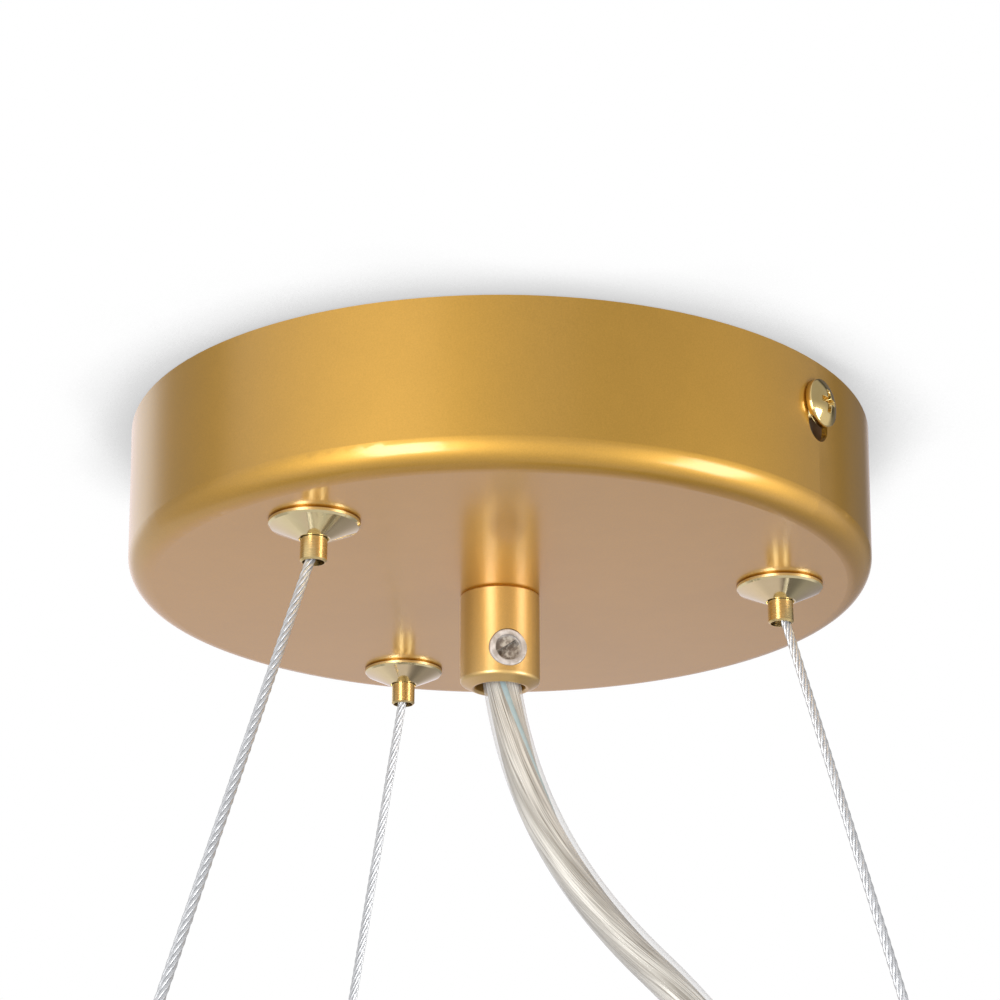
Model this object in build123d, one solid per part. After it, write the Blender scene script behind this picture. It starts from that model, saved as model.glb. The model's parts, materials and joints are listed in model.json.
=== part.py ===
from build123d import *
import os
from math import cos, pi, radians, sin, sqrt, tan

# Suspension canopy of a pendant lamp, in millimetres.
# The ceiling is the plane z = 0 and everything hangs below it.
# +X runs along the ceiling bracket, towards one of its two side screws.

# Driving dimensions: canopy cup
canopy_diameter = 120.0
canopy_height = 25.0
canopy_draft = 0.7
canopy_sheet = 1.0
canopy_edge_radius = 4.0
screw_drop = 6.8
slot_width = 5.5
slot_length = 8.6

# Driving dimensions: ceiling bracket
bracket_width = 18.0
bracket_sheet = 1.5
bracket_bend = 1.0
bracket_wall_gap = 0.6
leg_drop = 15.0
leg_corner_radius = 4.0
collar_wall = 1.2
collar_length = 1.5
ceiling_slot_spacing = 72.0
ceiling_slot_width = 4.8
ceiling_slot_length = 20.0
supply_hole_diameter = 9.0
tab_width = 29.0
tab_gap = 3.0

# Driving dimensions: screws
screw_diameter = 4.0
screw_length = 8.0
head_diameter = 7.4
head_height = 2.0
head_round = 1.0
recess_length = 3.6
recess_width = 0.9
recess_depth = 1.1

# Driving dimensions: flex gland
gland_diameter = 12.7
gland_body_height = 15.4
gland_lip_height = 0.9
gland_lip_width = 1.8
gland_lip_radius = 0.7
gland_top_edge = 0.3
gland_bore = 8.0
gland_mouth_radius = 0.4
nipple_diameter = 10.0
nipple_bore = 7.0
nipple_depth = 6.0
nipple_rise = 7.0
gland_washer_diameter = 17.0
gland_washer_sheet = 0.8
gland_nut_across = 14.0
gland_nut_height = 3.0
clamp_screw_diameter = 6.0
clamp_screw_rise = 5.1
clamp_screw_angle = -40.0
clamp_edge_radius = 0.3
clamp_recess_diameter = 4.2
clamp_recess_depth = 0.6
clamp_slot_length = 3.6
clamp_slot_width = 1.0
clamp_slot_depth = 1.4
clamp_slot_turn = 35.0
clamp_tip_gap = 0.15

# Driving dimensions: wire grippers
gripper_inset = 15.3
gripper_angles = (-90.0, 30.0, 150.0)
flange_diameter = 13.6
flange_height = 0.95
flange_edge = 0.3
nose_diameter = 4.9
nose_bore = 4.5
nose_bore_depth = 0.6
cone_height = 1.85
stem_diameter = 8.0
stem_height = 10.0
stem_cap = 1.0
stem_wall = 0.8
race_angle = 10.0
gripper_nut_across = 12.0
gripper_nut_height = 3.0
plunger_diameter = 4.0
plunger_show = 3.6
plunger_edge = 0.25
mouth_bore = 3.3
mouth_depth = 6.2
ball_diameter = 2.0
ball_rise = 2.4
cage_rim = 1.3
spring_diameter = 4.0
spring_wire = 0.6

# Driving dimensions: wire ropes
wire_diameter = 1.5
wire_splays = (21.3, 14.1, 25.8)
wire_tail_rise = 6.0
wire_bend_radius = 4.0
wire_end_drop = 114.0
sleeve_diameter = 3.5
sleeve_grip = 8.0
sleeve_floor = 1.0
stud_diameter = 4.0
stud_length = 8.0

# Driving dimensions: terminal block and earth
pole_pitch = 9.5
pole_width = 6.2
terminal_width = 17.0
terminal_height = 12.0
web_width = 9.0
web_height = 6.0
insert_side = 4.0
insert_inset = 0.5
insert_bore = 3.0
insert_drop = 5.5
terminal_screw_spread = 9.0
terminal_screw_diameter = 2.5
terminal_screw_length = 4.2
terminal_well = 3.9
fixing_screw_diameter = 2.5
fixing_head_diameter = 4.4
fixing_head_height = 1.8
earth_place = 18.0
earth_tag_diameter = 8.0
earth_tag_sheet = 0.8
earth_barrel_diameter = 3.4
earth_barrel_length = 4.0
earth_barrel_start = 5.0

# Driving dimensions: flex, in the upright plane that it hangs in
flex_diameter = 6.0
flex_heading = 37.7
core_diameter = 2.0
core_circle = 2.8
core_angles = (150.0, 270.0, 30.0)
core_entry = 3.0
core_turn_room = 5.0
sheath_rise = 10.0
sheath_split_depth = 8.0
coil_drop = 142.0
coil_inner_radius = 23.5
coil_pitch = 6.6
coil_layer_step = 6.6
coil_turns = 6
tie_sheet = 1.0
tie_width = 4.0
tie_gap = 0.35
stripped_length = 24.0
ferrule_diameter = 1.4
ferrule_length = 7.0

# Chosen points of the leads: the flex's (along, height) in its plane, its tail's places from the coil's centre
# line, and the earth lead's bends beside the terminal block
drop_points = (
    (0.0, -38.6),
    (2.2, -49.8),
    (5.75, -60.0),
    (11.3, -70.3),
    (18.8, -79.8),
    (27.9, -88.6),
    (36.0, -98.4),
    (41.2, -110.2),
)
tail_points = ((-1.2, -30.0), (-5.0, -40.0))
earth_bow = 1.0
earth_step = 7.0
earth_dip = 2.0
earth_round = 4.5
earth_reach = 7.5
earth_swing = 3.5

# Clearances
thread_gap = 0.05
running_gap = 0.05
hole_gap = 0.1
ball_gap = 0.05
seat_gap = 0.05
wire_gap = 0.05
wire_passage_gap = 0.35

# Places worked out from the driving dimensions
canopy_radius = canopy_diameter / 2
floor_bottom = -canopy_height
floor_top = floor_bottom + canopy_sheet
screw_z = -screw_drop
screw_seat = canopy_radius - canopy_draft * (screw_drop - head_diameter / 2) / canopy_height
leg_wall_radius = canopy_radius - canopy_sheet - canopy_draft * leg_drop / canopy_height
leg_face = sqrt(leg_wall_radius ** 2 - (bracket_width / 2) ** 2) - bracket_wall_gap
gland_bottom = floor_bottom - gland_body_height
nipple_bottom = floor_bottom - nipple_depth
nipple_top = floor_bottom + nipple_rise
gripper_circle_radius = canopy_radius - gripper_inset
guide_radius = plunger_diameter / 2 + running_gap
nose_z = floor_bottom - flange_height - cone_height
mouth_z = nose_z - plunger_show
stem_top = floor_bottom + stem_height
cap_bottom = stem_top - stem_cap
ball_circle_radius = (wire_diameter + ball_diameter) / 2 + ball_gap
ball_z = floor_bottom + ball_rise
cage_top = ball_z + cage_rim
cage_bore_radius = wire_diameter / 2 + wire_passage_gap
terminal_y = -(bracket_width + terminal_width) / 2 - tab_gap
insert_z = -bracket_sheet - insert_drop
terminal_bottom = -bracket_sheet - terminal_height
sheath_end = floor_bottom + sheath_rise
sheath_split = floor_bottom - sheath_split_depth


def save(node, shape):
    """Write one piece under its own name."""
    export_step(shape, f"parts/{node}.step")


def turned(outline):
    """Solid of revolution about Z from an outline of (radius, height) points."""
    return revolve(Plane.XZ * make_face(Polyline(*outline, close=True)), Axis.Z)


def post(diameter, bottom, top):
    """Upright round bar on the Z axis between two heights."""
    standing = (Align.CENTER, Align.CENTER, Align.MIN)
    return Pos(0, 0, bottom) * Cylinder(diameter / 2, top - bottom, align=standing)


def hex_nut(across, bore, bottom, height):
    """Hexagon nut on the Z axis."""
    blank = extrude(Pos(0, 0, bottom) * RegularPolygon(across / 2, 6, major_radius=False), height)
    return blank - post(bore, bottom, bottom + height)


def pan_screw(diameter, length, head_width, head_tall, round_radius):
    """Pan head screw along Z: the head stands on the plane z = 0 and the shank points down."""
    head = post(head_width, 0, head_tall)
    head = fillet(head.edges().group_by(Axis.Z)[-1], round_radius)
    return head + post(diameter, -length, 0)


def cross_recess(top):
    """Cross shaped driver recess below a given height."""
    bar = Box(recess_length, recess_width, recess_depth, align=(Align.CENTER, Align.CENTER, Align.MAX))
    return Pos(0, 0, top) * (bar + Rot(0, 0, 90) * bar)


def tube_along(path, diameter):
    """Round tube swept along a path."""
    start = Plane(origin=path @ 0, z_dir=path % 0)
    return sweep(start * Circle(diameter / 2), path=path)


def bend_radii(points):
    """Largest arc that the runs beside each corner of a route allow."""
    corners = [Vector(*point) for point in points]
    radii = []
    for before, corner, after in zip(corners, corners[1:], corners[2:]):
        shorter = min((corner - before).length, (after - corner).length)
        turn = (corner - before).get_angle(after - corner)
        radii.append(0.45 * shorter / tan(radians(turn / 2)))
    return radii


def cord_tube(node, points, diameter, radii=None):
    """Tube along straight runs joined by tangent arcs, with its measures printed."""
    radii = radii or bend_radii(points)
    path = FilletPolyline(*points, radius=radii)
    tube = tube_along(path, diameter)
    share = tube.volume / (pi * diameter ** 2 / 4 * path.length)
    rounded = [round(radius, 1) for radius in radii]
    print(node, "length", round(path.length, 1), "volume share", round(share, 4), "radii", rounded)
    return tube


# Canopy cup and ceiling bracket


def canopy_cup():
    """Drawn cup, drafted and open towards the ceiling, with holes for the gland, the grippers and the side screws."""
    top = (Align.CENTER, Align.CENTER, Align.MAX)
    outside = Cone(canopy_radius - canopy_draft, canopy_radius, canopy_height, align=top)
    outside = fillet(outside.edges().group_by(Axis.Z)[0], canopy_edge_radius)
    inner_radius = canopy_radius - canopy_sheet
    inner_height = canopy_height - canopy_sheet
    inner_draft = canopy_draft * inner_height / canopy_height
    inside = Cone(inner_radius - inner_draft, inner_radius, inner_height, align=top)
    inside = fillet(inside.edges().group_by(Axis.Z)[0], canopy_edge_radius - canopy_sheet)
    cup = outside - inside
    cup -= post(nipple_diameter + 2 * hole_gap, floor_bottom, floor_top)
    for x, y in gripper_places():
        cup -= Pos(x, y) * post(stem_diameter + 2 * hole_gap, floor_bottom, floor_top)
    slot_middle = screw_z + slot_width / 2 - slot_length / 2
    slot = Plane.YZ * Pos(0, slot_middle) * SlotOverall(slot_length, slot_width, rotation=90)
    return cup - extrude(slot, canopy_radius, both=True)


def ceiling_bracket():
    """Bent strip with turned-down legs, tapped for the side screws, and a tab for the terminal block."""
    upper = (Align.CENTER, Align.MAX)
    outline = Rectangle(2 * leg_face, leg_drop, align=upper)
    outline = fillet(outline.vertices().group_by(Axis.Y)[-1], bracket_bend + bracket_sheet)
    hollow = Pos(0, -bracket_sheet) * Rectangle(2 * (leg_face - bracket_sheet), leg_drop, align=upper)
    hollow = fillet(hollow.vertices().group_by(Axis.Y)[-1], bracket_bend)
    strip = extrude(Plane.XZ * (outline - hollow), bracket_width / 2, both=True)
    leg_ends = strip.edges().filter_by(Axis.X).group_by(Axis.Z)[0]
    strip = fillet(leg_ends, leg_corner_radius)
    beside = (Align.CENTER, Align.MAX, Align.MAX)
    tab = Box(tab_width, tab_gap + terminal_width, bracket_sheet, align=beside)
    strip += Pos(0, -bracket_width / 2) * tab
    screw_hole = screw_diameter + 2 * running_gap
    for side in (-1, 1):
        leg = Plane(origin=(side * (leg_face - bracket_sheet), 0, screw_z), z_dir=(-side, 0, 0))
        strip += leg * post(screw_hole + 2 * collar_wall, 0, collar_length)
        strip -= leg * post(screw_hole, -bracket_sheet, collar_length)
        slot = Pos(side * ceiling_slot_spacing / 2, 0) * SlotOverall(ceiling_slot_length, ceiling_slot_width)
        strip -= extrude(slot, -bracket_sheet)
    strip -= post(supply_hole_diameter, -bracket_sheet, 0)
    strip -= Pos(earth_place, 0) * post(screw_diameter + 2 * thread_gap, -bracket_sheet, 0)
    x, y = fixing_place()
    return strip - Pos(x, y) * post(fixing_screw_diameter + 2 * thread_gap, -bracket_sheet, 0)


def side_screw(side):
    """Pan head screw through the canopy wall into the bracket's leg."""
    screw = pan_screw(screw_diameter, screw_length, head_diameter, head_height, head_round)
    screw -= cross_recess(head_height)
    return Plane(origin=(side * screw_seat, 0, screw_z), z_dir=(side, 0, 0)) * screw


# Flex gland


def gland_pieces():
    """Body, hollow nipple, washer, lock nut and clear clamp screw of the flex gland."""
    thread = nipple_diameter + 2 * thread_gap
    body = post(gland_diameter, gland_bottom + gland_lip_height, floor_bottom)
    lip = Cone(gland_diameter / 2 - gland_lip_width, gland_diameter / 2, gland_lip_height)
    body += Pos(0, 0, gland_bottom + gland_lip_height / 2) * lip
    body = fillet(body.edges().filter_by(GeomType.CIRCLE).group_by(Axis.Z)[1], gland_lip_radius)
    body = chamfer(body.edges().group_by(Axis.Z)[-1], gland_top_edge)
    body -= post(gland_bore, gland_bottom, floor_bottom)
    body = fillet(body.edges().group_by(Axis.Z)[0].sort_by(SortBy.RADIUS)[0], gland_mouth_radius)
    body -= post(thread, nipple_bottom - seat_gap, floor_bottom)
    aim = Vector(cos(radians(clamp_screw_angle)), sin(radians(clamp_screw_angle)), 0)
    screw_axis = Plane(origin=(0, 0, gland_bottom + clamp_screw_rise), z_dir=aim)
    body -= screw_axis * post(clamp_screw_diameter + 2 * running_gap, 0, gland_diameter)
    nipple = post(nipple_diameter, nipple_bottom, nipple_top) - post(nipple_bore, nipple_bottom, nipple_top)
    washer_top = floor_top + gland_washer_sheet
    washer = post(gland_washer_diameter, floor_top, washer_top) - post(thread, floor_top, washer_top)
    nut = hex_nut(gland_nut_across, thread, washer_top, gland_nut_height)
    screw_tip = flex_diameter / 2 + clamp_tip_gap
    screw_end = gland_diameter / 2
    screw = post(clamp_screw_diameter, screw_tip, screw_end)
    screw = fillet(screw.edges().group_by(Axis.Z)[-1], clamp_edge_radius)
    screw -= post(clamp_recess_diameter, screw_end - clamp_recess_depth, screw_end)
    sunk = (Align.CENTER, Align.CENTER, Align.MAX)
    slot = Box(clamp_slot_length, clamp_slot_width, clamp_slot_depth, align=sunk)
    screw -= Pos(0, 0, screw_end) * Rot(0, 0, clamp_slot_turn) * slot
    return {
        "gland_body": body,
        "gland_nipple": nipple,
        "gland_washer": washer,
        "gland_nut": nut,
        "gland_clamp_screw": screw_axis * screw,
    }


# Wire grippers


def gripper_places():
    """Centres of the three grippers on their circle."""
    turns = [radians(angle) for angle in gripper_angles]
    return [(gripper_circle_radius * cos(turn), gripper_circle_radius * sin(turn)) for turn in turns]


def gripper_body():
    """Flanged body: cone nose below the canopy, threaded stem inside it and a tapered race for the balls."""
    race_radius = stem_diameter / 2 - stem_wall
    slope = tan(radians(race_angle))
    grip_radius = ball_circle_radius + (ball_diameter / 2 + ball_gap) / cos(radians(race_angle))
    race_bottom = ball_z - (grip_radius - guide_radius) / slope
    race_top = race_bottom + (race_radius - guide_radius) / slope
    cone_top = floor_bottom - flange_height
    return turned([
        (guide_radius, nose_z + nose_bore_depth),
        (nose_bore / 2, nose_z + nose_bore_depth),
        (nose_bore / 2, nose_z),
        (nose_diameter / 2, nose_z),
        (flange_diameter / 2 - flange_edge, cone_top),
        (flange_diameter / 2, cone_top + flange_edge),
        (flange_diameter / 2, floor_bottom),
        (stem_diameter / 2, floor_bottom),
        (stem_diameter / 2, stem_top),
        (cage_bore_radius, stem_top),
        (cage_bore_radius, cap_bottom),
        (race_radius, cap_bottom),
        (race_radius, race_top),
        (guide_radius, race_bottom),
    ])


def gripper_plunger():
    """Release plunger: a wide mouth for the wire below and a cage with three ball holes above."""
    barrel = post(plunger_diameter, mouth_z, cage_top)
    barrel = chamfer(barrel.edges().group_by(Axis.Z)[0], plunger_edge)
    barrel -= post(mouth_bore, mouth_z, mouth_z + mouth_depth)
    barrel -= post(2 * cage_bore_radius, mouth_z, cage_top)
    hole = Pos(0, 0, ball_z) * Rot(0, 90, 0) * post(ball_diameter + 2 * ball_gap, 0, plunger_diameter)
    for turn in range(3):
        barrel -= Rot(0, 0, 120 * turn) * hole
    return barrel


def gripper_balls():
    """Three clamping balls round the wire."""
    ball = Pos(ball_circle_radius, 0, ball_z) * Sphere(ball_diameter / 2)
    return Compound([Rot(0, 0, 120 * turn) * ball for turn in range(3)])


def gripper_spring():
    """Sleeve of the spring that pushes the plunger down, between its cage and the stem's cap."""
    bottom = cage_top + seat_gap
    inside = spring_diameter - 2 * spring_wire
    return post(spring_diameter, bottom, cap_bottom) - post(inside, bottom, cap_bottom)


# Wire ropes, each in the upright plane through the axis and its gripper


def wire_route(splay):
    """Route from the tail in the canopy, round the edge of the plunger's mouth, to the end fitting."""
    slope = tan(radians(splay))
    offset = mouth_bore / 2 - wire_diameter / 2 / cos(radians(splay)) - 2 * wire_gap
    bend_z = mouth_z + offset / slope
    end_x = (bend_z + wire_end_drop) * slope
    return [(0, 0, stem_top + wire_tail_rise), (0, 0, bend_z), (end_x, 0, -wire_end_drop)]


def wire_end(splay):
    """Crimped sleeve with a threaded stud, in line with the wire's taut stretch."""
    end = wire_route(splay)[-1]
    upward = (-sin(radians(splay)), 0, cos(radians(splay)))
    sleeve = post(sleeve_diameter, -sleeve_floor, sleeve_grip)
    sleeve -= post(wire_diameter + 2 * wire_gap, 0, sleeve_grip)
    sleeve += post(stud_diameter, -sleeve_floor - stud_length, -sleeve_floor)
    return Plane(origin=end, z_dir=upward) * sleeve


# Terminal block, earth screw and the leads inside the canopy


def pole_places():
    """X of the three poles of the terminal block."""
    return [pole_pitch * step for step in (-1, 0, 1)]


def fixing_place():
    """Centre of the terminal block's fixing screw, in the web between two poles."""
    return pole_pitch / 2, terminal_y


def terminal_pieces():
    """Housing, brass inserts, clamping screws and fixing screw of the terminal block."""
    hang = (Align.CENTER, Align.CENTER, Align.MAX)
    top = -bracket_sheet
    housing = Pos(0, terminal_y, top) * Box(2 * pole_pitch, web_width, web_height, align=hang)
    inserts = []
    screws = []
    for x in pole_places():
        housing += Pos(x, terminal_y, top) * Box(pole_width, terminal_width, terminal_height, align=hang)
    for x in pole_places():
        cavity = insert_side + 2 * hole_gap
        housing -= Pos(x, terminal_y, insert_z) * Box(cavity, terminal_width, cavity)
        insert = Box(insert_side, terminal_width - 2 * insert_inset, insert_side)
        bore = Rot(90, 0, 0) * post(insert_bore, -terminal_width, terminal_width)
        insert = Pos(x, terminal_y, insert_z) * (insert - bore)
        for side in (-0.5, 0.5):
            spot = Pos(x, terminal_y + side * terminal_screw_spread)
            housing -= spot * post(terminal_well, terminal_bottom, insert_z)
            tapped = terminal_screw_diameter + 2 * thread_gap
            insert -= spot * post(tapped, insert_z - insert_side, insert_z)
            screw_top = insert_z - core_diameter / 2 - seat_gap
            screws.append(spot * post(terminal_screw_diameter, screw_top - terminal_screw_length, screw_top))
        inserts.append(insert)
    x, y = fixing_place()
    head_seat = -bracket_sheet - web_height
    housing -= Pos(x, y) * post(fixing_screw_diameter + 2 * hole_gap, head_seat, top)
    housing -= Pos(x, y) * post(fixing_head_diameter + 2 * hole_gap, terminal_bottom, head_seat)
    fixing = post(fixing_screw_diameter, head_seat, 0)
    fixing += post(fixing_head_diameter, head_seat - fixing_head_height, head_seat)
    pieces = {f"terminal_insert_{place + 1}": insert for place, insert in enumerate(inserts)}
    pieces["terminal_housing"] = housing
    pieces["terminal_screws"] = Compound(screws)
    pieces["terminal_fixing_screw"] = Pos(x, y) * fixing
    return pieces


def earth_pieces():
    """Earth screw and ring tag under the bracket's strip."""
    tag_bottom = -bracket_sheet - earth_tag_sheet
    tag = post(earth_tag_diameter, tag_bottom, -bracket_sheet)
    tongue_reach = earth_barrel_start + earth_barrel_length
    beside = (Align.CENTER, Align.MAX, Align.MIN)
    tongue = Box(earth_barrel_diameter, tongue_reach, earth_tag_sheet, align=beside)
    tag += Pos(0, 0, tag_bottom) * tongue
    barrel_axis = Plane(origin=(0, -earth_barrel_start, tag_bottom - core_diameter / 2), z_dir=(0, -1, 0))
    tag += barrel_axis * post(earth_barrel_diameter, 0, earth_barrel_length)
    tag -= barrel_axis * post(core_diameter + 2 * wire_gap, 0, earth_barrel_length)
    tag -= post(screw_diameter + 2 * hole_gap, tag_bottom, -bracket_sheet)
    screw = pan_screw(screw_diameter, -tag_bottom, head_diameter, head_height, head_round)
    screw -= cross_recess(head_height)
    flipped = Plane(origin=(earth_place, 0, tag_bottom), z_dir=(0, 0, -1))
    return {"earth_tag": Pos(earth_place, 0) * tag, "earth_screw": flipped * screw}


def core_route(place):
    """Route of one core from the sheath's end to its pole of the terminal block."""
    angle = radians(core_angles[place])
    x = core_circle / 2 * cos(angle)
    y = core_circle / 2 * sin(angle)
    pole = pole_places()[place]
    inner_face = terminal_y + terminal_width / 2
    start = (x, y, sheath_end)
    entry = (pole, inner_face - core_entry, insert_z)
    if pole == 0:
        return [start, (x, y, insert_z), entry]
    return [start, (x, y, insert_z), (pole, inner_face + core_turn_room, insert_z), entry]


def earth_route():
    """Route of the earth lead from its tag, round the terminal block, to the last pole's outer side."""
    start_y = -earth_barrel_start
    start_z = -bracket_sheet - earth_tag_sheet - core_diameter / 2
    pole = pole_places()[-1]
    outer = terminal_y - terminal_width / 2
    return [
        (earth_place, start_y, start_z),
        (earth_place, start_y - 2 * earth_barrel_length, start_z),
        (earth_place + earth_bow, start_y - 2 * earth_barrel_length - earth_step, start_z - earth_dip),
        (earth_place + earth_bow, outer + earth_dip, insert_z),
        (earth_place - earth_bow / 2, outer - earth_round, insert_z),
        (pole + earth_swing, outer - earth_reach, insert_z),
        (pole, outer - earth_round, insert_z),
        (pole, outer + core_entry, insert_z),
    ]


# Flex: places in its hanging plane are (along, behind, height)


def hanging(along, behind, height):
    """Point of the flex's hanging plane in the part's frame."""
    heading = radians(flex_heading)
    return (
        along * cos(heading) - behind * sin(heading),
        along * sin(heading) + behind * cos(heading),
        height,
    )


def coil_point(turn):
    """Middle line of the coil: in to the reversal, over one layer, and out again."""
    reversal = coil_turns / 2
    radius = coil_inner_radius + coil_pitch * abs(turn - reversal)
    climb = min(max(turn - reversal, -0.25), 0.25)
    behind = coil_layer_step * (0.5 + 0.5 * sin(2 * pi * climb))
    angle = 2 * pi * turn
    return Vector(*hanging(radius * cos(angle), behind, -coil_drop - radius * sin(angle)))


def coil_tangent(turn):
    """Direction of the coil's middle line."""
    step = 1e-4
    return (coil_point(turn + step) - coil_point(turn - step)).normalized()


def biarc(start, start_way, end, end_way):
    """Two tangent arcs from one point and direction to another."""
    across = end - start
    ways = start_way + end_way
    square = 2 * (start_way.dot(end_way) - 1)
    half = across.dot(ways)
    reach = (half - sqrt(half ** 2 - square * across.dot(across))) / square
    joint = (start + start_way * reach + end - end_way * reach) * 0.5
    first = Edge.make_tangent_arc(start, start_way, joint)
    second = Edge.make_tangent_arc(joint, first % 1, end)
    return [first, second]


def coil_ends():
    """Outer ends of the coil's straight leads, one flex diameter beyond its turns."""
    enter = coil_point(0) - coil_tangent(0) * flex_diameter
    leave = coil_point(coil_turns) + coil_tangent(coil_turns) * flex_diameter
    return enter, leave


def flex_coil():
    """Unbroken coil of the flex, with straight leads."""
    enter, leave = coil_ends()
    edges = [Edge.make_line(enter, coil_point(0))]
    for quarter in range(4 * coil_turns):
        start = quarter / 4
        end = start + 0.25
        edges += biarc(coil_point(start), coil_tangent(start), coil_point(end), coil_tangent(end))
    edges.append(Edge.make_line(coil_point(coil_turns), leave))
    path = Wire(edges)
    print("flex_coil length", round(path.length, 1), "least gap", round(coil_gap(), 2))
    return tube_along(path, flex_diameter)


def coil_gap():
    """Least gap between the coil's turns, measured on points along it."""
    steps = 48
    points = [coil_point(step / steps) for step in range(coil_turns * steps + 1)]
    gaps = [
        (points[later] - points[earlier]).length
        for earlier in range(len(points))
        for later in range(earlier + steps // 2, len(points))
    ]
    return min(gaps) - flex_diameter


def coil_tie():
    """Band round the coil's bundle at the top of its turns."""
    top_turns = [turn + 0.75 for turn in range(coil_turns)]
    heights = [coil_point(turn).Z for turn in top_turns]
    room = flex_diameter / 2 + tie_gap
    low = min(heights) - room
    high = max(heights) + room
    front = -room
    back = coil_layer_step + room
    middle = hanging(0, (front + back) / 2, (low + high) / 2)
    heading = (cos(radians(flex_heading)), sin(radians(flex_heading)), 0)
    section = Plane(origin=middle, x_dir=(0, 0, 1), z_dir=heading)
    inner = RectangleRounded(high - low, back - front, flex_diameter / 3)
    outer = offset(inner, tie_sheet)
    return extrude(section * (outer - inner), tie_width / 2, both=True)


def drop_route():
    """Route of the flex from inside the gland to the coil; the upper points follow the seen curve."""
    enter, _ = coil_ends()
    lead = enter - coil_tangent(0) * 2 * flex_diameter
    seen = [(0.0, sheath_split), *drop_points]
    return [hanging(along, 0, height) for along, height in seen] + [tuple(lead), tuple(enter)]


def tail_route():
    """Route of the flex's free end below the coil."""
    _, leave = coil_ends()
    onward = leave + coil_tangent(coil_turns) * 2 * flex_diameter
    along = coil_inner_radius + coil_pitch * coil_turns / 2
    free = [hanging(along + aside, coil_layer_step, below - coil_drop) for aside, below in tail_points]
    return [tuple(leave), tuple(onward)] + free


def stripped_cores():
    """Three stripped cores with ferrules at the flex's free end."""
    before, end = [Vector(*point) for point in tail_route()[-2:]]
    way = (end - before).normalized()
    face = Plane(origin=end, z_dir=way)
    cores = []
    ferrules = []
    for step in range(3):
        angle = radians(120 * step + 90)
        spread = [(1.0, 0.0), (1.0, 0.3), (1.9, 0.65), (3.2, 1.0)]
        aside = Vector(cos(angle), sin(angle)) * core_circle / 2
        points = [(aside.X * wide, aside.Y * wide, stripped_length * far) for wide, far in spread]
        cores.append(face * cord_tube("stripped core", points, core_diameter))
        last = Vector(*points[-1])
        aim = last - Vector(*points[-2])
        ferrules.append(face * Plane(origin=last, z_dir=aim) * post(ferrule_diameter, 0, ferrule_length))
    return Compound(cores), Compound(ferrules)


os.makedirs("parts", exist_ok=True)

save("canopy_cup", canopy_cup())
save("ceiling_bracket", ceiling_bracket())
for number, side in enumerate((1, -1), start=1):
    save(f"side_screw_{number}", side_screw(side))
for node, piece in (gland_pieces() | terminal_pieces() | earth_pieces()).items():
    save(node, piece)

gripper_nut = hex_nut(gripper_nut_across, stem_diameter + 2 * thread_gap, floor_top, gripper_nut_height)
for number, (place, angle, splay) in enumerate(zip(gripper_places(), gripper_angles, wire_splays), start=1):
    seat = Pos(*place) * Rot(0, 0, angle)
    save(f"gripper_body_{number}", seat * gripper_body())
    save(f"gripper_nut_{number}", seat * gripper_nut)
    save(f"gripper_plunger_{number}", seat * gripper_plunger())
    save(f"gripper_balls_{number}", seat * gripper_balls())
    save(f"gripper_spring_{number}", seat * gripper_spring())
    rope = cord_tube(f"wire_rope_{number}", wire_route(splay), wire_diameter, [wire_bend_radius])
    save(f"wire_rope_{number}", seat * rope)
    save(f"wire_end_{number}", seat * wire_end(splay))

save("flex_sheath_inner", post(flex_diameter, sheath_split, sheath_end))
for place, name in enumerate(("line", "neutral", "earth")):
    save(f"core_{name}", cord_tube(f"core_{name}", core_route(place), core_diameter))
save("earth_lead", cord_tube("earth_lead", earth_route(), core_diameter))
save("flex_drop", cord_tube("flex_drop", drop_route(), flex_diameter))
save("flex_coil", flex_coil())
save("flex_tail", cord_tube("flex_tail", tail_route(), flex_diameter))
save("coil_tie", coil_tie())
cores, ferrules = stripped_cores()
save("flex_end_cores", cores)
save("flex_end_ferrules", ferrules)
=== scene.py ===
# %% [markdown]
# # A pendant lamp's suspension canopy
# The object is a round gold cup on the ceiling. Three sprung grippers in its floor hold steel wire ropes,
# and a clear flex leaves it through a gland. The solids come from the part's own model, already in metres
# and in place. This script dresses them: it gives each finish its surface, lays the ropes and the flex as
# what they are, and sets the light and the camera.

# %% Load the solids
import json

import bpy
import numpy as np
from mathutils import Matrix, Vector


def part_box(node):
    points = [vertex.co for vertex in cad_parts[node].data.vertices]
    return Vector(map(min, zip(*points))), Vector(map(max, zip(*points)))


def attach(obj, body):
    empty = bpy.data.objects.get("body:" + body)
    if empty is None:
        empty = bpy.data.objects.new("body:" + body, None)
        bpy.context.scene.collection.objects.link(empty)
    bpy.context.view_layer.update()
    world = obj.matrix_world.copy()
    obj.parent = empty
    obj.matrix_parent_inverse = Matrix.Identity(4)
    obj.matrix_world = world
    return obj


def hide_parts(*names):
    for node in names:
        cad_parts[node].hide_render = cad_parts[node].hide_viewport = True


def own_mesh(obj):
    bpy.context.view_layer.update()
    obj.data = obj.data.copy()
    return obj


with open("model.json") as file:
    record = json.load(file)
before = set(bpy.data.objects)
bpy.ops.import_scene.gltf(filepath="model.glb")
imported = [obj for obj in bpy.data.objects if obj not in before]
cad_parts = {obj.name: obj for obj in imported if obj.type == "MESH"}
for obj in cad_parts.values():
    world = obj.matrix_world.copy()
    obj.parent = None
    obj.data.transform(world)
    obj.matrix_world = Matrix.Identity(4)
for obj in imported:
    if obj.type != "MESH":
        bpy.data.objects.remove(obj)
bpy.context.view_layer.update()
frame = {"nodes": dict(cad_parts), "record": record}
nodes = frame["nodes"]

# %% [markdown]
# ## Camera
# The photograph looks up at the canopy from below and in front. A camera was fitted to its rims, to its
# sides and to the three gripper flanges; its distance, height, upward pitch and focal length are written
# here. The lens is long enough that the round rims stay close to true ellipses. No lens shift is needed.

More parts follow.
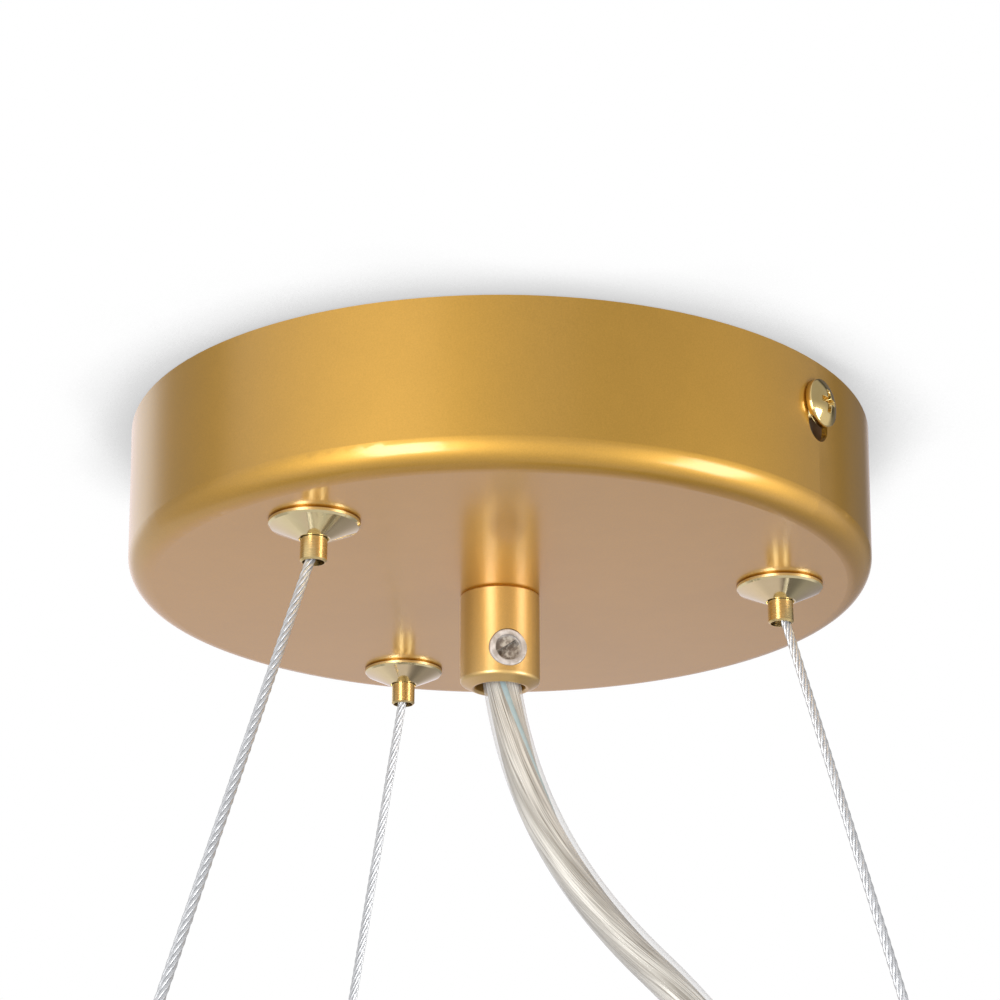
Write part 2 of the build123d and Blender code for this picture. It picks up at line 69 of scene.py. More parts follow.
# %% Place the camera
PICTURE = 1000
CAMERA_TURN = np.radians(37.54)
CAMERA_AWAY = 0.36112
CAMERA_HEIGHT = -0.14383
CAMERA_PITCH = np.radians(20.56)
FOCAL_PIXELS = 2361

camera_data = bpy.data.cameras.new("camera")
camera_data.sensor_width = 36.0
camera_data.lens = FOCAL_PIXELS * camera_data.sensor_width / PICTURE
camera_data.clip_start = 0.01
camera_data.clip_end = 20.0
camera = bpy.data.objects.new("camera", camera_data)
camera.location = (CAMERA_AWAY * np.sin(CAMERA_TURN), -CAMERA_AWAY * np.cos(CAMERA_TURN), CAMERA_HEIGHT)
camera.rotation_euler = (np.pi / 2 + CAMERA_PITCH, 0, CAMERA_TURN)
bpy.context.scene.collection.objects.link(camera)
bpy.context.scene.camera = camera
print("lens:", round(camera_data.lens, 2), "mm")

# %% [markdown]
# ## Meshes from arrays
# Every new piece is a grid of points: one direction runs along the piece, the other round it. The points
# come out of whole-array formulas, and a single function turns the grids into a mesh with faces, smooth
# shading and a UV map that holds the two directions in metres.

# %% Grid mesh helpers
def unit(vectors):
    """Vectors of length one."""
    return vectors / np.linalg.norm(vectors, axis=-1, keepdims=True)


def travel(line):
    """Distance along a line of points, from its start to each of them."""
    return np.concatenate([[0], np.cumsum(np.linalg.norm(np.diff(line, axis=0), axis=1))])


def grid_corners(rows, columns, closed):
    """Corner numbers of a grid's quads. In a closed grid the last column joins the first; an open grid
    has one column of points more."""
    row, column = np.meshgrid(np.arange(rows - 1), np.arange(columns), indexing="ij")
    width = columns if closed else columns + 1
    after, beside = row + 1, (column + 1) % width
    corners = [row * width + column, row * width + beside, after * width + beside, after * width + column]
    return np.stack(corners, -1).reshape(-1, 4)


def mesh_piece(name, tubes, material, body="canopy"):
    """One mesh of closed tubes. A tube is an array of points, ring by ring, and an array of UV places with
    one more column, so that the map runs on to its seam. The flat ends are one face each."""
    points, faces, spots, smooth, first = [], [], [], [], 0
    for rings, places in tubes:
        rows, columns = rings.shape[:2]
        ring = np.arange(columns)
        ends = [ring[::-1], (rows - 1) * columns + ring]
        quads = grid_corners(rows, columns, True) + first
        points.append(rings.reshape(-1, 3))
        faces += quads.tolist() + [(end + first).tolist() for end in ends]
        smooth += [True] * len(quads) + [False, False]
        spots.append(places.reshape(-1, 2)[grid_corners(rows, columns, False).ravel()])
        spots += [places[0, ring[::-1]], places[-1, ring]]
        first += rows * columns
    mesh = bpy.data.meshes.new(name)
    mesh.from_pydata(np.concatenate(points), [], faces)
    mesh.polygons.foreach_set("use_smooth", smooth)
    mesh.uv_layers.new(name="UVMap").data.foreach_set("uv", np.concatenate(spots).ravel())
    mesh.materials.append(material)
    piece = bpy.data.objects.new(name, mesh)
    bpy.context.scene.collection.objects.link(piece)
    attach(piece, body)
    return piece


def tube_rings(line, outward, radius, sides):
    """Rings of a tube: at each point of the line a ring stands square to it and starts at the outward way.
    The radius is one number, or one for each side. The map gives the way round and the way along, in
    metres."""
    along = unit(np.gradient(line, axis=0))
    side = unit(outward - along * np.sum(outward * along, -1, keepdims=True))
    other = np.cross(along, side)
    turn = np.linspace(0, 2 * np.pi, sides + 1)
    bearing = turn[None, :-1, None]
    reach = np.broadcast_to(radius, sides)[None, :, None]
    rings = line[:, None] + reach * (np.cos(bearing) * side[:, None] + np.sin(bearing) * other[:, None])
    return rings, np.stack(np.meshgrid(turn * np.mean(radius), travel(line)), -1)


def twisted(line, across, lay, start, reach):
    """A strand's line in a rope: it keeps its reach from the rope's line and turns once in each length of
    lay. A positive lay turns right-handed. Returns the line and the way from the rope's line to it."""
    along = unit(np.gradient(line, axis=0))
    side = unit(across - along * np.sum(across * along, -1, keepdims=True))
    other = np.cross(along, side)
    turn = (start + 2 * np.pi * travel(line) / lay)[:, None]
    way = np.cos(turn) * side + np.sin(turn) * other
    return line + reach * way, way


# %% [markdown]
# ## Shader arithmetic
# Materials are node graphs, and graphs are hard to read in code. One small class wraps a node's output,
# so that `0.3 + 0.1 * grain` adds the Math nodes by itself. Any other node comes from one method, which
# sets the node's options first and then fills or links its sockets.

# %% Shader values
class Shade:
    """A value in a node graph. Arithmetic on it adds Math nodes."""

    def __init__(self, tree, socket=None):
        self.tree = tree
        self.socket = socket

    def node(self, kind, settings, inputs, output=0):
        """One output of a new node, with its options set and its sockets filled or linked."""
        made = self.tree.nodes.new(kind)
        for name, value in settings.items():
            setattr(made, name, value)
        for key, value in inputs.items():
            if isinstance(value, Shade):
                self.tree.links.new(value.socket, made.inputs[key])
            else:
                made.inputs[key].default_value = value
        return Shade(self.tree, made.outputs[output])

    def math(self, operation, first, second):
        return self.node("ShaderNodeMath", {"operation": operation}, {0: first, 1: second})

    def __add__(self, other):
        return self.math("ADD", self, other)

    def __radd__(self, other):
        return self.math("ADD", other, self)

    def __sub__(self, other):
        return self.math("SUBTRACT", self, other)

    def __rsub__(self, other):
        return self.math("SUBTRACT", other, self)

    def __mul__(self, other):
        return self.math("MULTIPLY", self, other)

    def __rmul__(self, other):
        return self.math("MULTIPLY", other, self)

    def vector(self, operation, other=(0, 0, 0), output=0):
        """Vector Math with this value first."""
        return self.node("ShaderNodeVectorMath", {"operation": operation}, {0: self, 1: other}, output)

    def part(self, axis):
        """One of a vector's three numbers."""
        return self.node("ShaderNodeSeparateXYZ", {}, {0: self}, axis)

    def wave(self):
        """Sine of this value, brought into 0 to 1."""
        return 0.5 + 0.5 * self.math("SINE", self, 0.0)

    def rise(self, low, high):
        """Smooth step, 0 at low and 1 at high."""
        limits = {0: self, 1: low, 2: high, 3: 0.0, 4: 1.0}
        return self.node("ShaderNodeMapRange", {"interpolation_type": "SMOOTHSTEP"}, limits)

    def blend(self, low, high):
        """Colour that goes from low to high as this value goes from 0 to 1. A Mix node names its colour
        sockets like its other ones, so they are picked by number."""
        return self.node("ShaderNodeMix", {"data_type": "RGBA"}, {0: self, 6: low, 7: high}, 2)

    def bump(self, strength, distance):
        """Surface normal raised by this value."""
        return self.node("ShaderNodeBump", {}, {"Strength": strength, "Distance": distance, "Height": self})


class Finish:
    """A material with one Principled shader."""

    def __init__(self, name, **constants):
        self.material = bpy.data.materials.new(name)
        self.material.use_nodes = True
        self.tree = self.material.node_tree
        self.shader = self.tree.nodes["Principled BSDF"]
        for socket, value in constants.items():
            self.shader.inputs[socket.replace("_", " ")].default_value = value
        self.start = Shade(self.tree)

    def place(self, kind="Object"):
        """Where a point lies: in the object's own metres, or on its UV map."""
        return self.start.node("ShaderNodeTexCoord", {}, {}, kind)

    def grain(self, size, detail):
        """Soft noise from 0 to 1 with spots of about the given size in metres."""
        inputs = {"Vector": self.place(), "Scale": 1 / size, "Detail": detail}
        return self.start.node("ShaderNodeTexNoise", {}, inputs)

    def links(self, **sockets):
        """The material, once these values are linked to the shader's sockets."""
        for socket, value in sockets.items():
            self.tree.links.new(value.socket, self.shader.inputs[socket.replace("_", " ")])
        return self.material


# %% [markdown]
# ## Satin gold lacquer
# The cup and the gland are sprayed with a metallic lacquer under a clear coat. Close to, the flakes make
# a fine speckle, and from afar the coat turns paler at a grazing angle, which is why the floor looks
# beige. So the shader is a metal with a coat, and fine noise moves its colour, roughness and normal a
# little. The gland has its own copy of the lacquer with a duller coat, and its colours are painted
# paler, as painted light that whitens its highlights.

# %% Gold lacquer
def gold_lacquer(name, low, high, rough, coat_rough, coat_index):
    finish = Finish(name, Metallic=1.0, Coat_Weight=1.0, Coat_Roughness=coat_rough, Coat_IOR=coat_index)
    flakes = finish.grain(0.00022, 1.0)
    clouds = finish.grain(0.006, 3.0)
    mixed = 0.75 * flakes + 0.25 * clouds
    color = mixed.blend((*low, 1), (*high, 1))
    return finish.links(Base_Color=color, Roughness=rough + 0.12 * flakes, Normal=flakes.bump(0.05, 0.00005))


# %% [markdown]
# ## Brass, steel and plastics
# The gripper cones are polished brass. Their flanges keep a turned skin, and where they meet the cup a
# dark band of painted shade stands for the contact shadow. The side screws are a yellower polished brass,
# and the plungers satin brass with turning marks. The bracket and the gland's nut are zinc plated, with
# the faint spangle that plating has. The plastics have a fine moulded grain.

# %% Metals
FLANGE_LOW = -0.0257
SHADOW_LINE_LOW = -0.0253
SOFT_EDGE = 0.0001


def polished_brass():
    finish = Finish("polished_brass", Metallic=1.0)
    clouds = finish.grain(0.002, 3.0)
    color = clouds.blend((0.80, 0.66, 0.38, 1), (0.88, 0.75, 0.48, 1))
    return finish.links(Base_Color=color, Roughness=0.08 + 0.06 * clouds)


def gripper_brass():
    """Polished on the cone. The flange above FLANGE_LOW keeps its turned skin, and its top band, where it
    meets the cup, is painted dark as a contact shadow."""
    finish = Finish("gripper_brass", Metallic=1.0, Coat_Roughness=0.06)
    clouds = finish.grain(0.002, 3.0)
    height = finish.place().part(2)
    flange = height.rise(FLANGE_LOW - SOFT_EDGE, FLANGE_LOW + SOFT_EDGE)
    # Painted shade: the flange's top band, where it meets the cup, is darkened as its contact shadow.
    painted_contact_shadow = height.rise(SHADOW_LINE_LOW, SHADOW_LINE_LOW + SOFT_EDGE)
    brass = clouds.blend((0.82, 0.67, 0.36, 1), (0.90, 0.76, 0.45, 1))
    color = painted_contact_shadow.blend(brass, (0.28, 0.13, 0.02, 1))
    rough = 0.07 + 0.05 * clouds + 0.22 * flange
    return finish.links(Base_Color=color, Roughness=rough, Coat_Weight=1.0 - flange)


def screw_brass():
    finish = Finish("screw_brass", Metallic=1.0)
    clouds = finish.grain(0.002, 3.0)
    color = clouds.blend((0.78, 0.58, 0.24, 1), (0.87, 0.67, 0.32, 1))
    return finish.links(Base_Color=color, Roughness=0.09 + 0.06 * clouds)


def turned_brass():
    finish = Finish("satin_brass", Metallic=1.0)
    inputs = {"W": finish.place().part(2), "Scale": 9000.0}
    rings = finish.start.node("ShaderNodeTexNoise", {"noise_dimensions": "1D"}, inputs)
    color = rings.blend((0.70, 0.52, 0.23, 1), (0.82, 0.63, 0.31, 1))
    return finish.links(Base_Color=color, Roughness=0.20 + 0.12 * rings, Normal=rings.bump(0.08, 0.00003))


def zinc_plate():
    finish = Finish("zinc_steel", Metallic=1.0)
    spangle = finish.start.node("ShaderNodeTexVoronoi", {}, {"Vector": finish.place(), "Scale": 500.0})
    clouds = finish.grain(0.003, 4.0)
    color = clouds.blend((0.58, 0.59, 0.60, 1), (0.74, 0.75, 0.75, 1))
    return finish.links(Base_Color=color, Roughness=0.26 + 0.18 * spangle, Normal=clouds.bump(0.05, 0.00005))


def drawn_steel():
    finish = Finish("rope_steel", Metallic=0.6)
    wires = (finish.place("UV").part(0) * 18000.0).wave()
    clouds = finish.grain(0.0015, 2.0)
    color = clouds.blend((0.58, 0.59, 0.61, 1), (0.76, 0.77, 0.79, 1))
    return finish.links(Base_Color=color, Roughness=0.30 + 0.08 * clouds, Normal=wires.bump(0.25, 0.00003))


def ball_steel():
    finish = Finish("ball_steel", Metallic=1.0)
    clouds = finish.grain(0.0006, 2.0)
    color = clouds.blend((0.74, 0.74, 0.76, 1), (0.84, 0.84, 0.86, 1))
    return finish.links(Base_Color=color, Roughness=0.05 + 0.05 * clouds)


def tinned_copper():
    finish = Finish("tinned_copper", Metallic=1.0)
    clouds = finish.grain(0.001, 3.0)
    color = clouds.blend((0.66, 0.64, 0.60, 1), (0.80, 0.79, 0.76, 1))
    return finish.links(Base_Color=color, Roughness=0.28 + 0.15 * clouds)


# %% Plastics
def moulded(name, low, high, rough):
    finish = Finish(name)
    clouds = finish.grain(0.0008, 3.0)
    color = clouds.blend((*low, 1), (*high, 1))
    return finish.links(Base_Color=color, Roughness=rough + 0.1 * clouds, Normal=clouds.bump(0.06, 0.00004))


def clear_plastic(name, tint, cover, edge):
    """Clear skin: it covers by the first share where it is seen square on, and by the second one more at
    its edges."""
    finish = Finish(name, IOR=1.5)
    clouds = finish.grain(0.0015, 3.0)
    facing = finish.start.node("ShaderNodeLayerWeight", {}, {"Blend": 0.35}, "Facing")
    color = clouds.blend((*(0.94 * np.array(tint)), 1), (*tint, 1))
    return finish.links(Base_Color=color, Roughness=0.05 + 0.08 * clouds, Alpha=cover + edge * facing)


def striped_core():
    """Green core with two yellow stripes along it; the stripes follow the map's way round."""
    finish = Finish("green_core")
    clouds = finish.grain(0.0008, 3.0)
    stripe = (finish.place("UV").part(0) * 2000.0).wave().rise(0.45, 0.55)
    color = stripe.blend((0.05, 0.24, 0.04, 1), (0.72, 0.60, 0.04, 1))
    return finish.links(Base_Color=color, Roughness=0.30 + 0.1 * clouds)


# %% [markdown]
# The gland's clamp screw is clear nylon. Its rim looks milky. Its recess is painted dark, as painted shade
# for the bore seen behind it, with a few lighter spots as painted glints. The distance from the screw's
# axis tells the two apart.

# %% Clamp screw
SCREW_CENTRE = (0.0, 0.0, -0.0353)
SCREW_AIM = (np.cos(np.radians(-40.0)), np.sin(np.radians(-40.0)), 0.0)
RIM_FROM = 0.0025
RECESS_WITHIN = 0.0016


def clear_nylon():
    finish = Finish("clear_nylon", IOR=1.5)
    from_centre = finish.place().vector("SUBTRACT", SCREW_CENTRE)
    from_axis = from_centre.vector("CROSS_PRODUCT", SCREW_AIM).vector("LENGTH", output="Value")
    recess = from_axis.rise(RIM_FROM, RECESS_WITHIN)
    clouds = finish.grain(0.0012, 2.0)
    # Painted highlights: lighter spots in the recess stand for glints.
    painted_glints = finish.grain(0.0009, 2.0).rise(0.40, 0.68)
    rim = clouds.rise(0.3, 0.7).blend((0.42, 0.38, 0.35, 1), (0.72, 0.68, 0.66, 1))
    # Painted shade: the recess is coloured dark for the shade of the bore behind it.
    painted_recess_shade = painted_glints.blend((0.16, 0.13, 0.11, 1), (0.50, 0.46, 0.40, 1))
    return finish.links(Base_Color=recess.blend(rim, painted_recess_shade), Roughness=0.08 + 0.1 * clouds)


finishes = {
    "gold_lacquer": gold_lacquer("gold_lacquer", (0.52, 0.285, 0.031), (0.70, 0.386, 0.054), 0.44, 0.18, 1.6),
    "polished_brass": polished_brass(),
    "screw_brass": screw_brass(),
    "satin_brass": turned_brass(),
    "zinc_steel": zinc_plate(),
    "rope_steel": drawn_steel(),
    "ball_steel": ball_steel(),
    "tinned_copper": tinned_copper(),
    "clear_sheath": clear_plastic("clear_sheath", (0.82, 0.82, 0.84), 0.05, 0.55),
    "clear_nylon": clear_nylon(),
    "clear_core": clear_plastic("clear_core", (0.86, 0.88, 0.88), 0.60, 0.40),
    "white_plastic": moulded("white_plastic", (0.76, 0.76, 0.73), (0.86, 0.86, 0.84), 0.40),
    "tie_plastic": moulded("tie_plastic", (0.74, 0.74, 0.72), (0.84, 0.84, 0.82), 0.45),
    "brown_core": moulded("brown_core", (0.16, 0.07, 0.03), (0.22, 0.10, 0.05), 0.30),
    "blue_core": moulded("blue_core", (0.02, 0.10, 0.34), (0.04, 0.15, 0.42), 0.30),
    "green_core": striped_core(),
}

# %% Dress the solids
slot_of = {part["node"]: part["material_slot"] for part in frame["record"]["subparts"]}
for name, slot in slot_of.items():
    nodes[name].data.materials.clear()
    nodes[name].data.materials.append(finishes[slot])
cone_brass = gripper_brass()
for number in (1, 2, 3):
    nodes[f"gripper_body_{number}"].data.materials[0] = cone_brass
# Painted light: the gland's lacquer is a paler copy of the cup's, to whiten its highlights.
gland_gold_painted_paler = gold_lacquer("gland_gold_painted_paler", (0.60, 0.375, 0.075), (0.80, 0.500, 0.120), 0.42, 0.32, 2.1)
nodes["gland_body"].data.materials[0] = gland_gold_painted_paler
print("finishes:", len(finishes), "on", len(slot_of), "solids")

# %% [markdown]
# ## Side screws
# A pan head has a shallow dome, and the driver's cross is cut into it. Both show in the photograph, so
# each screw is a surface of its own. Its rings run from the tip over the rim and the dome, and then
# narrow from circles to the outline of the cross. Where an edge is sharp, two rings lie close together
# and keep the shading crisp.

# %% Turn the screws
HEAD = 0.0037
HEAD_HEIGHT = 0.0020
RIM_HEIGHT = 0.0010
DOME_EDGE = 0.0035
SHANK = 0.0020
SHANK_LENGTH = 0.008
CROSS_REACH = 0.0018
CROSS_HALF = 0.00045
CROSS_DEPTH = 0.0011
CROSS_CLEAR = 0.0023
CROSS_TAPER = 0.9
TIP = 0.8
CRISP = 0.00004
ARC_STEPS = 6


def dome(radius):
    """Height of the head's face: it falls with the square of the distance from the axis, down to the rim."""
    return HEAD_HEIGHT - (HEAD_HEIGHT - RIM_HEIGHT) * (radius / DOME_EDGE) ** 2


def screw_rings(seat, aim):
    """A screw's rings. The cross is as far from the axis as its bar's end or its bar's side, whichever is
    nearer along that bearing. Each row is a radius and a height above the seat, which is the underside of
    the head."""
    corner = np.arctan2(CROSS_HALF, CROSS_REACH)
    stops = [0, corner, np.pi / 4, np.pi / 2 - corner, np.pi / 2]
    arcs = [np.linspace(low, high, ARC_STEPS, endpoint=False) for low, high in zip(stops, stops[1:])]
    bearing = np.concatenate([arc + step * np.pi / 2 for step in range(4) for arc in arcs])
    from_bar = np.abs((bearing + np.pi / 4) % (np.pi / 2) - np.pi / 4)
    bar_end = CROSS_REACH / np.cos(from_bar)
    bar_side = CROSS_HALF / np.sin(np.maximum(from_bar, corner / 2))
    cross = np.minimum(bar_end, bar_side)
    rows = [
        (TIP * SHANK, -SHANK_LENGTH), (SHANK, (1 - TIP) * SHANK - SHANK_LENGTH), (SHANK, -CRISP),
        (SHANK + CRISP, 0), (HEAD - CRISP, 0), (HEAD, CRISP),
        (HEAD, RIM_HEIGHT - 5 * CRISP), (HEAD - CRISP, RIM_HEIGHT - 2 * CRISP),
    ]
    outer = np.linspace(DOME_EDGE, CROSS_CLEAR, ARC_STEPS)
    inner = [(1 - share) * CROSS_CLEAR + share * cross for share in (0.25, 0.5, 0.75, 1.0)]
    rows += [(radius, dome(radius)) for radius in [*outer, *inner]]
    floor = HEAD_HEIGHT - CROSS_DEPTH
    foot = CROSS_TAPER * cross
    rows += [(cross - CRISP, dome(cross) - CRISP), (foot, floor + CRISP), (foot - CRISP, floor)]
    radius = np.array([np.broadcast_to(row[0], bearing.shape) for row in rows])
    height = np.array([np.broadcast_to(row[1], bearing.shape) for row in rows])
    across = np.array([0.0, 1.0, 0.0])
    outward = np.cos(bearing)[:, None] * across + np.sin(bearing)[:, None] * np.cross(aim, across)
    rings = seat + height[..., None] * aim + radius[..., None] * outward
    return rings, np.stack(np.meshgrid(np.append(bearing, 2 * np.pi) * HEAD, travel(rings[:, 0])), -1)


for number in (1, 2):
    node = f"side_screw_{number}"
    low, high = np.array(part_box(node))
    aim = np.array([np.sign(low[0] + high[0]), 0.0, 0.0])
    seat = (low + high) / 2 + aim * ((high[0] - low[0]) / 2 - HEAD_HEIGHT)
    screw = mesh_piece(f"pan_screw_{number}", [screw_rings(seat, aim)], finishes["screw_brass"], node)
    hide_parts(node)
    print(node, "seat", np.round(seat, 4).tolist())

# %% [markdown]
# ## Cords
# A rope or a flex is a smooth line before it is anything else. Its route is a short list of points, and a
# NURBS spline of order three rounds them off. Strands and tubes then follow points that are read back
# from that spline.

# %% Spline through a route
def spline_of(name, route):
    """Open NURBS curve with the route's points as its control points."""
    curve = bpy.data.curves.new(name, "CURVE")
    curve.dimensions = "3D"
    curve.resolution_u = 16
    spline = curve.splines.new("NURBS")
    spline.points.add(len(route) - 1)
    spline.points.foreach_set("co", np.column_stack([route, np.ones(len(route))]).ravel())
    spline.order_u = 3
    spline.use_endpoint_u = True
    return curve


def points_on(curve):
    """Points along the curve, in order, as Blender works them out."""
    carrier = bpy.data.objects.new(curve.name, curve)
    bpy.context.scene.collection.objects.link(carrier)
    bpy.context.view_layer.update()
    mesh = bpy.data.meshes.new_from_object(carrier)
    line = np.zeros((len(mesh.vertices), 3))
    mesh.vertices.foreach_get("co", line.ravel())
    bpy.data.objects.remove(carrier)
    bpy.data.meshes.remove(mesh)
    return line


def evenly(line, step):
    """The line's points moved to equal distances along it."""
    stops = np.linspace(0, travel(line)[-1], int(travel(line)[-1] / step) + 2)
    return np.stack([np.interp(stops, travel(line), line[:, axis]) for axis in range(3)], 1)


# %% [markdown]
# ## Wire ropes
# Each rope is six steel strands round a seventh. It hangs down through its gripper, bends over the edge
# of the plunger's mouth and runs taut to a crimped stud on the lamp below, each at its own splay. The
# strands turn right-handed, once in about ten millimetres.

# %% Lay the ropes
GRIPPER_CIRCLE = 0.0447
GRIPPER_ANGLES = np.radians([-90.0, 30.0, 150.0])
SPLAYS = np.radians([21.3, 14.1, 25.8])
ROPE = 0.0015
MOUTH_HEIGHT = -0.0314
MOUTH_RADIUS = 0.00165
ROPE_TOP = -0.009
ROPE_END = -0.114
ROPE_LAY = 0.010
ROPE_CLEAR = 0.0001
ROPE_STEP = 0.0004
BESIDE_BEND = 0.004
STRAND = 0.00025
STRAND_SIDES = 8


def rope_route(angle, splay):
    """Places from the tail inside the cup, over the mouth's edge, to the stud. Two points hold the bend
    short."""
    offset = MOUTH_RADIUS - ROPE / 2 / np.cos(splay) - ROPE_CLEAR
    bend = MOUTH_HEIGHT + offset / np.tan(splay)
    below = bend - BESIDE_BEND * np.cos(splay)
    drops = np.array([ROPE_TOP, bend + BESIDE_BEND, bend, below, ROPE_END])
    out = GRIPPER_CIRCLE + np.maximum(bend - drops, 0) * np.tan(splay)
    return np.column_stack([out * np.cos(angle), out * np.sin(angle), drops])


for number, (angle, splay) in enumerate(zip(GRIPPER_ANGLES, SPLAYS), start=1):
    route = spline_of(f"rope_line_{number}", rope_route(angle, splay))
    line = evenly(points_on(route), ROPE_STEP)
    across = np.array([-np.sin(angle), np.cos(angle), 0.0])
    strands = [tube_rings(line, across, STRAND, STRAND_SIDES)]
    for step in range(6):
        strand, way = twisted(line, across, ROPE_LAY, step * np.pi / 3, ROPE / 2 - STRAND)
        strands.append(tube_rings(strand, way, STRAND, STRAND_SIDES))
    rope = mesh_piece(f"wire_strands_{number}", strands, finishes["rope_steel"])
    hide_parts(f"wire_rope_{number}")
    print("rope", number, "length", round(travel(line)[-1], 4))

# %% [markdown]
# ## Plunger springs
# Inside each gripper a small spring pushes the ball cage down into its taper. It is wound from round
# wire, with a closed turn at each end to stand on. Each plunger's press travel is read from the record
# and printed beside its spring's height; the spring is drawn at rest.

# %% Wind the springs
SPRING_WIRE = 0.0006
SPRING_TURNS = 4.5
SPRING_SIDES = 10
STEPS_A_TURN = 32
joints = frame["record"]["behaviour"]["joints"]
press_travel = {joint["name"]: joint["range_m"][1] for joint in joints if "range_m" in joint}


def spring_line(low, high):
    """Helix in the box between two corners. Its height climbs by one wire in each end turn and evenly
    between them. Returns the line and the level way out from its axis."""
    turn = np.linspace(0, SPRING_TURNS, int(SPRING_TURNS * STEPS_A_TURN) + 1)
    rise = high[2] - low[2] - SPRING_WIRE
    turn_stops = [0, 1, SPRING_TURNS - 1, SPRING_TURNS]
    height = np.interp(turn, turn_stops, [0, SPRING_WIRE, rise - SPRING_WIRE, rise])
    way = np.column_stack([np.cos(2 * np.pi * turn), np.sin(2 * np.pi * turn), 0 * turn])
    line = (low + high) / 2 + way * (high[0] - low[0] - SPRING_WIRE) / 2
    line[:, 2] = low[2] + SPRING_WIRE / 2 + height
    return line, way


for number in (1, 2, 3):
    low, high = np.array(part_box(f"gripper_spring_{number}"))
    line, way = spring_line(low, high)
    rings = tube_rings(line, way, SPRING_WIRE / 2, SPRING_SIDES)
    spring = mesh_piece(f"plunger_spring_{number}", [rings], finishes["rope_steel"])
    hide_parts(f"gripper_spring_{number}")
    press = f"plunger_{number}_press"
    travelled = press_travel[press]
    1 - travelled / (high[2] - low[2])
    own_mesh(spring)
    print("spring", number, "height", round(high[2] - low[2], 5), "travel", travelled)

# %% [markdown]
# ## Clear flex
# The flex is a clear sheath over three cores, whose tinned strands shine through it. The cores lie
# twisted left-handed, and one carries a teal thread. It leaves the gland, swings to the right and drops
# out of the picture. The rest of its length is put away in a tied coil below, in two layers that wind in
# and out again.

# %% Lay the flex
FLEX = 0.006
FLEX_PLANE = np.radians(37.7)
SHEATH_TOP = -0.015
COIL_HEIGHT = -0.142
COIL_INNER = 0.0235
COIL_PITCH = 0.0066
COIL_TURNS = 6
CROSSING = 0.25
POINTS_A_TURN = 24
FLEX_STEP = 0.0015
SHEATH_SIDES = 24
flex_seen = np.array([
    (0.0, SHEATH_TOP), (0.0, -0.033), (0.0, -0.0386), (0.0022, -0.0498), (0.00575, -0.0600),
    (0.0113, -0.0703), (0.0188, -0.0798), (0.0279, -0.0886), (0.0360, -0.0984), (0.0412, -0.1102),
])


def hanging(along, behind, height):
    """A place in the upright plane that the flex hangs in."""
    return np.stack([
        along * np.cos(FLEX_PLANE) - behind * np.sin(FLEX_PLANE),
        along * np.sin(FLEX_PLANE) + behind * np.cos(FLEX_PLANE),
        height + 0 * along,
    ], -1)


def coil_points(turn):
    """The coil's line: a flat spiral in to its middle turn, over to the next layer, and out again."""
    middle = COIL_TURNS / 2
    radius = COIL_INNER + COIL_PITCH * np.abs(turn - middle)
    climb = np.clip(turn - middle, -CROSSING, CROSSING)
    behind = COIL_PITCH * (0.5 + 0.5 * np.sin(2 * np.pi * climb))
    angle = 2 * np.pi * turn
    return hanging(radius * np.cos(angle), behind, COIL_HEIGHT - radius * np.sin(angle))


turns = coil_points(np.linspace(0, COIL_TURNS, COIL_TURNS * POINTS_A_TURN + 1))
outer = COIL_INNER + COIL_PITCH * COIL_TURNS / 2
lead_in = hanging(np.full(2, outer), np.zeros(2), COIL_HEIGHT + FLEX * np.array([3.0, 1.0]))
tail_along = outer + np.array([0.0, 0.0, -0.0012, -0.0050])
tail = hanging(tail_along, np.full(4, COIL_PITCH), COIL_HEIGHT - np.array([0.006, 0.018, 0.030, 0.040]))
seen = hanging(flex_seen[:, 0], np.zeros(len(flex_seen)), flex_seen[:, 1])
flex_route = np.concatenate([seen, lead_in, turns, tail])
flex_line = evenly(points_on(spline_of("flex_line", flex_route)), FLEX_STEP)

# %% [markdown]
# ### What shows through the sheath
# The three cores are bundles of hair-fine tinned wires, pressed together until they fill the sheath, so
# their outline is almost round, with three shallow lobes. The clear plastic works as a lens and draws
# them right out to its edge. One tube with that outline, turned along the flex, stands for them. Below
# the gland it leans a third of a millimetre to the left inside the sheath, as the cores do in the
# photograph. The wires are long streaks in its UV map: partly the wires' own lines, with cream streaks
# as painted highlights and dark streaks as painted shade between wires. Between the three lobes the
# colour is painted darker, as shade where the cores meet.

# %% Cores and thread
FLEX_LAY = -0.084
BUNDLE = 0.00252
BUNDLE_LOBE = 0.00008
BUNDLE_SIDES = 48
THREAD_START = np.radians(286.0)
THREAD_REACH = 0.0020
THREAD = 0.0006
LEAN = 0.00036
LEAN_BETWEEN = (0.034, 0.048)
away_from_camera = np.array([-np.sin(FLEX_PLANE), np.cos(FLEX_PLANE), 0.0])


